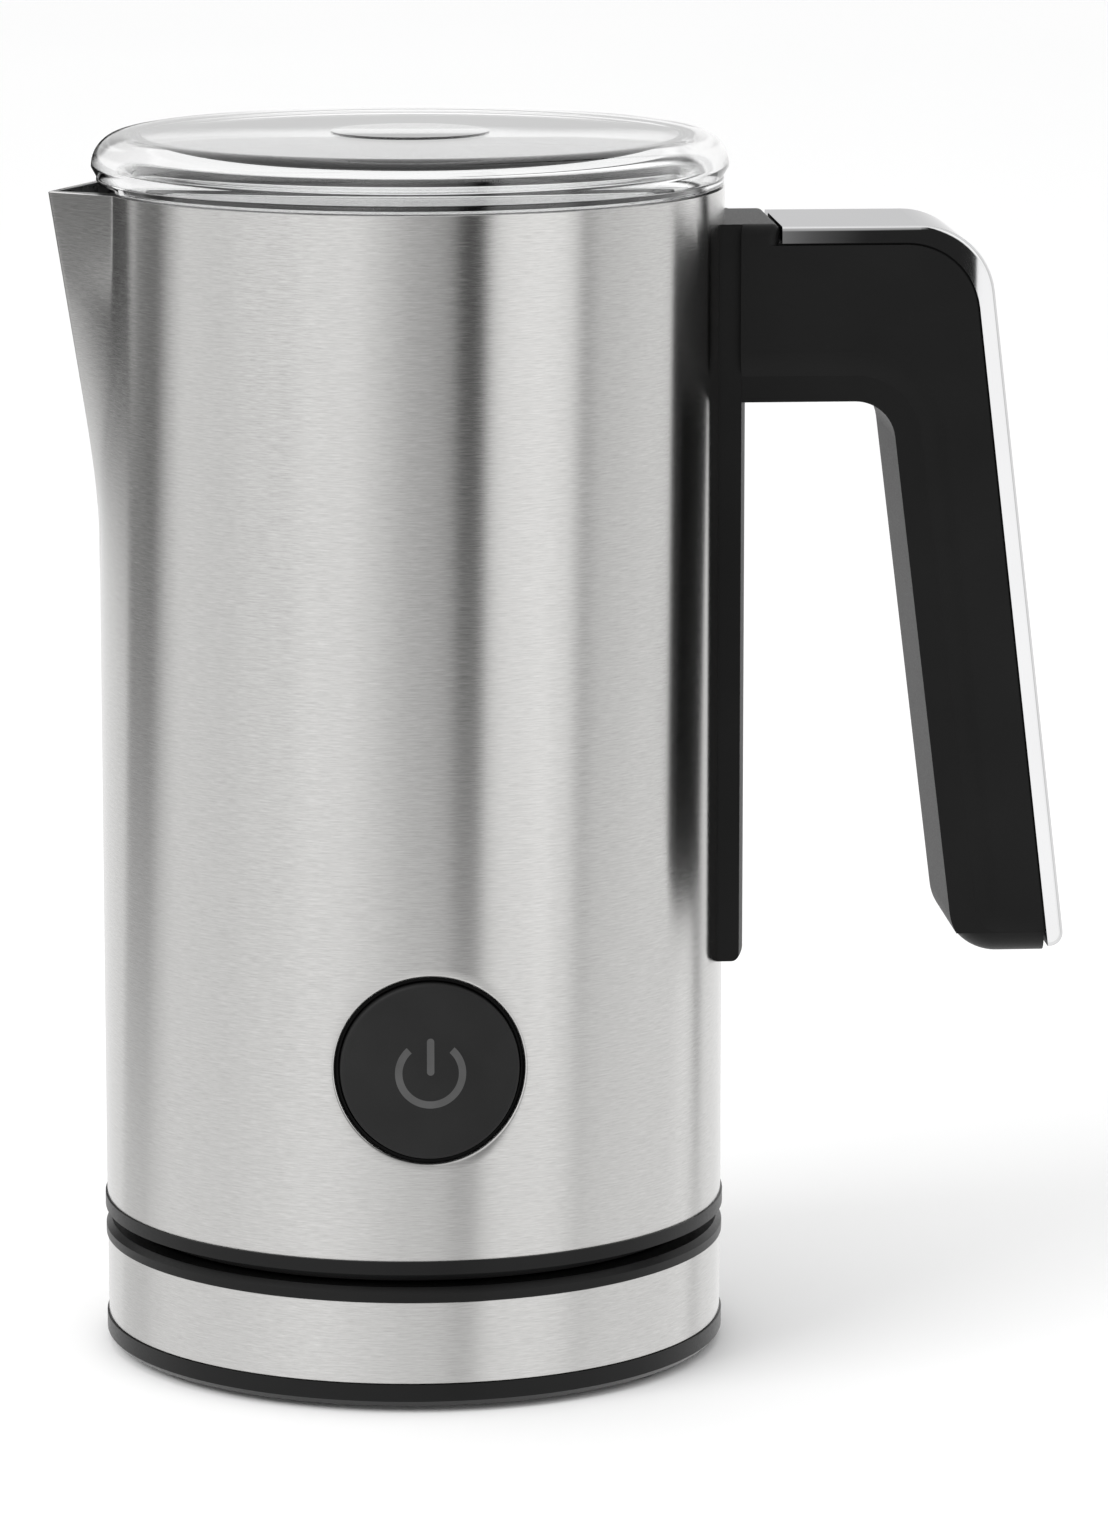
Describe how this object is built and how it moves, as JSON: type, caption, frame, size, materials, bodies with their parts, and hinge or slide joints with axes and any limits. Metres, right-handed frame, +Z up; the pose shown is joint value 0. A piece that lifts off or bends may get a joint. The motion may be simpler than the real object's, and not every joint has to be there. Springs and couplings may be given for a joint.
{
  "type": "milk frother",
  "caption": "Cordless electric milk frother: steel jug with pouring spout, side handle, clear push-on lid and front push button, on a round power base.",
  "frame": {"origin": "middle of the whole object's footprint box, on the surface that the feet stand on", "axes": "+Z up, +X towards the handle, -X towards the spout, -Y towards the button"},
  "size_m": [0.1618, 0.1014, 0.1968],
  "materials": {
    "brushed_steel": "fine horizontal brushing",
    "chrome_trim": "polished",
    "black_plastic": "satin moulded",
    "handle_plastic": "fine satin, soft to the touch",
    "rubber": "matte",
    "silicone": "matte silicone",
    "pot_coating": "black non-stick coating",
    "clear_plastic": "clear moulded plastic",
    "button_plastic": "matte",
    "symbol_window": "translucent light window",
    "inner_plastic": "moulded",
    "brass": "plain",
    "screw_steel": "zinc plated",
    "polished_steel": "polished",
    "aluminium": "as pressed",
    "board_green": "solder mask",
    "lamp_lens": "clear lens",
    "wire_insulation": "silicone sleeve",
    "whisk_plastic": "moulded",
    "magnet_nickel": "nickel plated",
    "bush_plastic": "low friction plastic"
  },
  "bodies": {
    "base": {"base_band": "brushed_steel", "base_top_cover": "black_plastic", "base_bottom_cover": "black_plastic", "base_feet": "rubber", "base_screws": "screw_steel", "base_connector": "inner_plastic", "base_contacts": "brass", "cord_gland": "rubber", "cord_clamp": "inner_plastic", "cord_clamp_screws": "screw_steel"},
    "jug_seat": {"jug_socket": "inner_plastic", "socket_contacts": "brass"},
    "jug": {"outer_shell": "brushed_steel", "inner_pot": "pot_coating", "rim_seal": "silicone", "whisk_spindle": "polished_steel", "jug_bottom_cover": "black_plastic", "body_screws": "screw_steel", "heater_plate": "aluminium", "heater_tube": "polished_steel", "temperature_sensor": "polished_steel", "thermal_fuse": "polished_steel", "motor_bracket": "aluminium", "motor_standoffs": "polished_steel", "motor": "polished_steel", "motor_screws": "screw_steel", "circuit_board": "board_green", "board_holder": "inner_plastic", "holder_screws": "screw_steel", "board_components": "inner_plastic", "switch_body": "inner_plastic", "indicator_lamp": "lamp_lens", "button_frame": "inner_plastic", "handle_plate": "handle_plastic", "handle_body": "handle_plastic", "handle_trim": "chrome_trim", "handle_screws": "screw_steel", "heater_leads": "wire_insulation", "motor_leads": "wire_insulation"},
    "button": {"button_cap": "button_plastic", "power_symbol_window": "symbol_window", "switch_plunger": "inner_plastic", "button_spring": "polished_steel"},
    "rotor": {"motor_shaft": "polished_steel", "rotor_hub": "whisk_plastic", "drive_magnets": "magnet_nickel"},
    "whisk_sleeve": {"whisk_bush": "bush_plastic"},
    "whisk": {"whisk_hub": "whisk_plastic", "whisk_magnets": "magnet_nickel", "whisk_coil": "polished_steel"},
    "lid": {"lid": "clear_plastic", "lid_seal": "silicone"}
  },
  "joints": [
    {"name": "jug_lift", "type": "slide", "parent": "base", "child": "jug_seat", "axis": [0, 0, 1], "range_m": [0, 0.06]},
    {"name": "jug_turn", "type": "hinge", "parent": "jug_seat", "child": "jug", "pos_m": [-0.02347, 0, 0.0202], "axis": [0, 0, 1], "continuous": true},
    {"name": "lid_lift", "type": "slide", "parent": "jug", "child": "lid", "axis": [0, 0, 1], "range_m": [0, 0.03]},
    {"name": "button_press", "type": "slide", "parent": "jug", "child": "button", "axis": [0, 1, 0], "range_m": [0, 0.0015], "stiffness_N_per_m": 600, "springref_m": -0.001, "deforming": ["button_spring"]},
    {"name": "motor_spin", "type": "hinge", "parent": "jug", "child": "rotor", "pos_m": [-0.02347, 0, 0.084], "axis": [0, 0, 1], "continuous": true},
    {"name": "whisk_lift", "type": "slide", "parent": "jug", "child": "whisk_sleeve", "axis": [0, 0, 1], "range_m": [0, 0.055]},
    {"name": "whisk_spin", "type": "hinge", "parent": "whisk_sleeve", "child": "whisk", "pos_m": [-0.02347, 0, 0.092], "axis": [0, 0, 1], "continuous": true}
  ],
  "couplings": [
    {"joint": "whisk_spin", "follows": "motor_spin", "ratio": 1}
  ]
}
